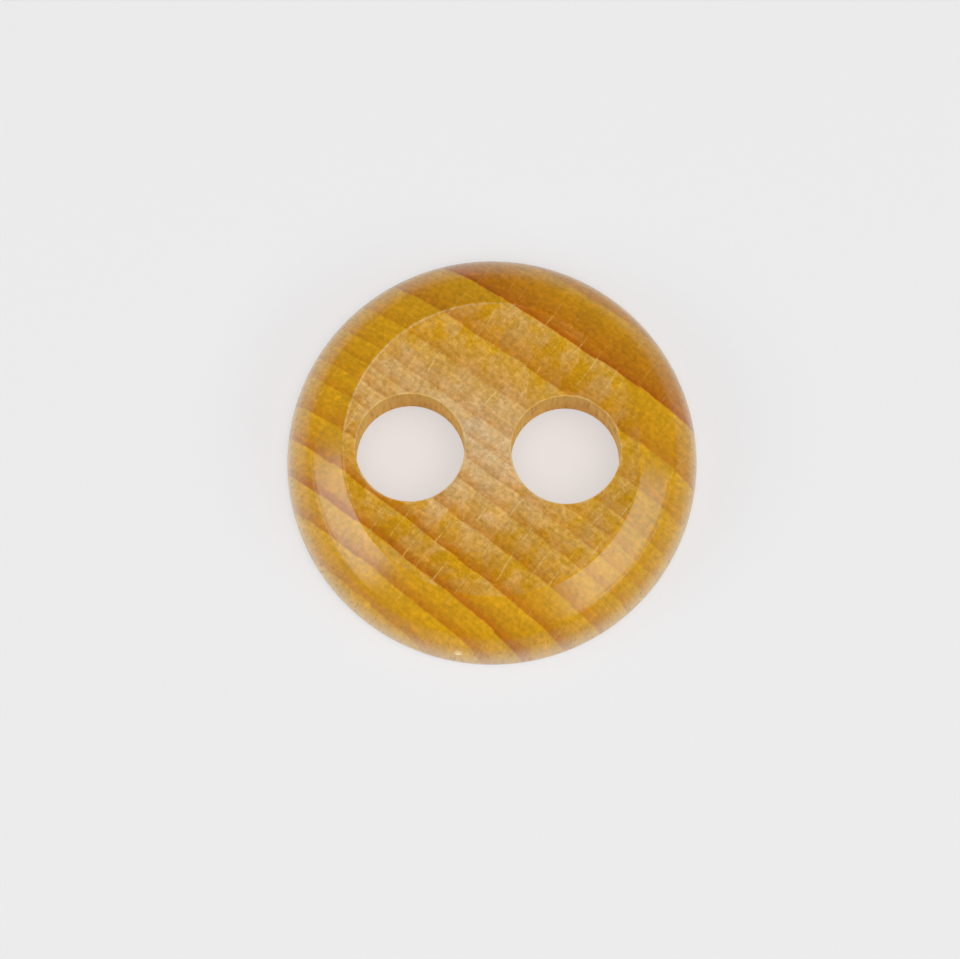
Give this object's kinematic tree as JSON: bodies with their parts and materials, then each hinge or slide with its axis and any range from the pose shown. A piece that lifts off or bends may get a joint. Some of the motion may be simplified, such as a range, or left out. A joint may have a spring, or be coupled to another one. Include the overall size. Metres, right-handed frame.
{
  "type": "wooden button",
  "caption": "Round turned wooden button with a flat face, a sloping band, a rounded side and large sewing holes.",
  "frame": {"origin": "on the turning axis, in the plane of the flat back that the button lies on", "axes": "+Z out of the front face, +X along the line through the two sewing holes"},
  "size_m": [0.025, 0.025, 0.0046],
  "materials": {
    "wood": "satin lacquer over end grain"
  },
  "bodies": {
    "root": {"button": "wood"}
  },
  "joints": []
}
